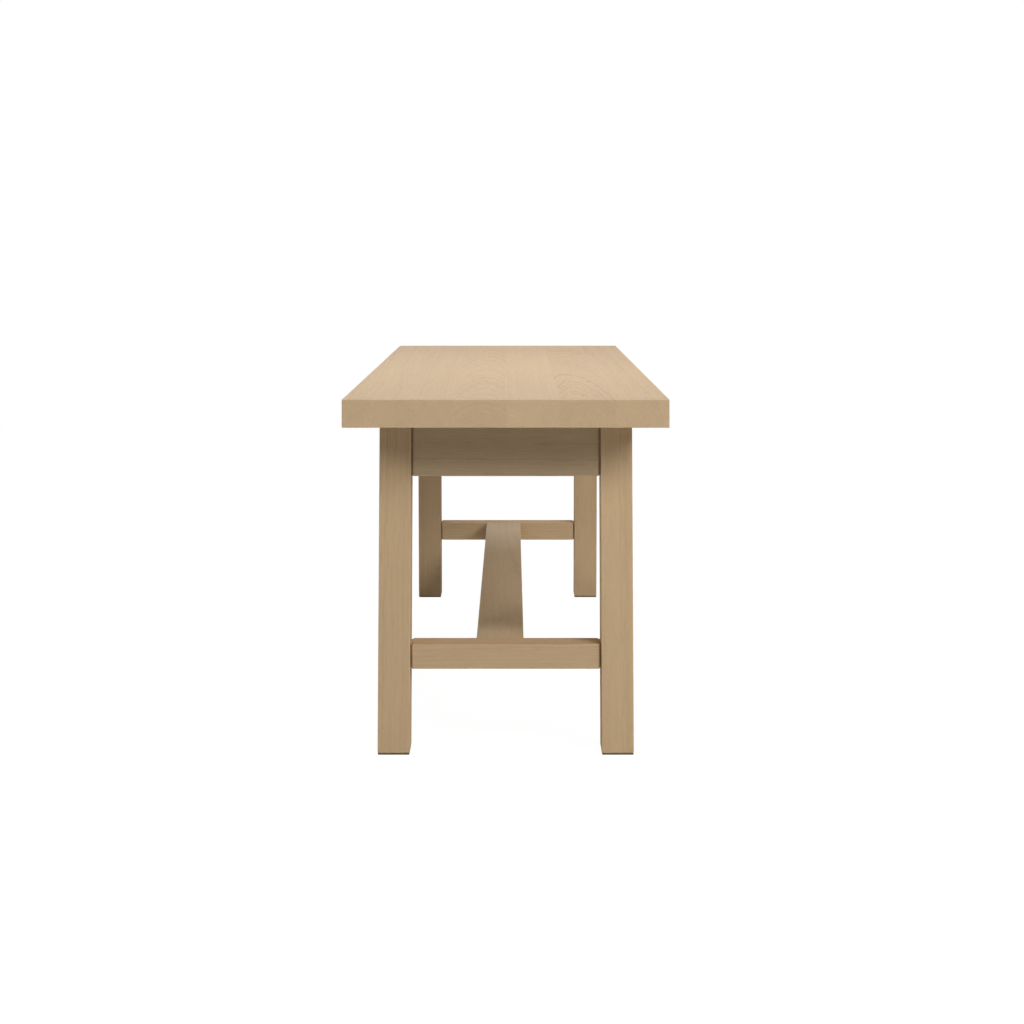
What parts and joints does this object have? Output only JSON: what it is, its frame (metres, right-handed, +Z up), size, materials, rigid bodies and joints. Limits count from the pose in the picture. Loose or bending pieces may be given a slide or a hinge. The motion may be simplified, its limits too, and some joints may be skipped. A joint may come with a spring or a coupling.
{
  "type": "bench",
  "caption": "Solid oak bench with an edge-glued slab seat on leaning end frames, lower stretchers and a long centre beam.",
  "frame": {"origin": "on the floor under the middle of the seat", "axes": "+Y along the bench, with the front end towards -Y, +X across it, +Z up"},
  "size_m": [0.4, 1.2, 0.448],
  "materials": {
    "oak": "light natural oak with a matt oil",
    "felt": "dark brown pressed felt",
    "zinc": "zinc-plated steel screws and washers"
  },
  "bodies": {
    "root": {"top_stave_1": "oak", "top_stave_2": "oak", "top_stave_3": "oak", "top_stave_4": "oak", "top_stave_5": "oak", "top_stave_6": "oak", "centre_beam": "oak", "front_left_leg": "oak", "front_right_leg": "oak", "front_apron": "oak", "front_stretcher": "oak", "front_cleat": "oak", "back_left_leg": "oak", "back_right_leg": "oak", "back_apron": "oak", "back_stretcher": "oak", "back_cleat": "oak", "front_left_pad": "felt", "front_right_pad": "felt", "back_left_pad": "felt", "back_right_pad": "felt", "front_seat_screw_1": "zinc", "front_seat_screw_2": "zinc", "front_seat_screw_3": "zinc", "front_seat_screw_4": "zinc", "front_seat_washer_1": "zinc", "front_seat_washer_2": "zinc", "front_seat_washer_3": "zinc", "front_seat_washer_4": "zinc", "front_apron_screw_1": "zinc", "front_apron_screw_2": "zinc", "front_apron_screw_3": "zinc", "back_seat_screw_1": "zinc", "back_seat_screw_2": "zinc", "back_seat_screw_3": "zinc", "back_seat_screw_4": "zinc", "back_seat_washer_1": "zinc", "back_seat_washer_2": "zinc", "back_seat_washer_3": "zinc", "back_seat_washer_4": "zinc", "back_apron_screw_1": "zinc", "back_apron_screw_2": "zinc", "back_apron_screw_3": "zinc"}
  },
  "joints": []
}
